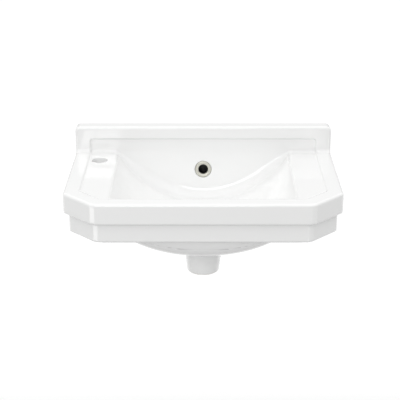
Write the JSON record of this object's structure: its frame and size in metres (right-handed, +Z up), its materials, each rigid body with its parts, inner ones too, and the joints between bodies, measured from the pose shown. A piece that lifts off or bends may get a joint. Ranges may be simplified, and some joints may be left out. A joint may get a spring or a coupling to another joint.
{
  "type": "washbasin",
  "caption": "Wall-hung cloakroom washbasin in white vitreous china, with splashback, chamfered tiered apron, tap hole on the left, overflow ring, outlet boss and wall fixings",
  "frame": {"origin": "On the wall plane, midway between the two fixing bolts' centres. The rim plane is 50 mm above it.", "axes": "+X is the right of a person facing the wall, +Y points into the wall and +Z is up. The basin stands out from the wall toward -Y."},
  "size_m": [0.5, 0.366, 0.241],
  "materials": {
    "china": "white gloss glaze, unglazed biscuit on the face against the wall and round the boss's end",
    "nickel": "soft satin nickel plate",
    "zinc": "bright zinc plate",
    "nylon": "natural nylon moulding",
    "grey_nylon": "grey nylon moulding",
    "rubber": "matt black rubber"
  },
  "bodies": {
    "root": {"basin": "china", "overflow_ring": "nickel", "wall_plug_left": "grey_nylon", "hanger_bolt_left": "zinc", "bush_left": "nylon", "gasket_left": "rubber", "washer_left": "zinc", "nut_left": "zinc", "wall_plug_right": "grey_nylon", "hanger_bolt_right": "zinc", "bush_right": "nylon", "gasket_right": "rubber", "washer_right": "zinc", "nut_right": "zinc"}
  },
  "joints": []
}
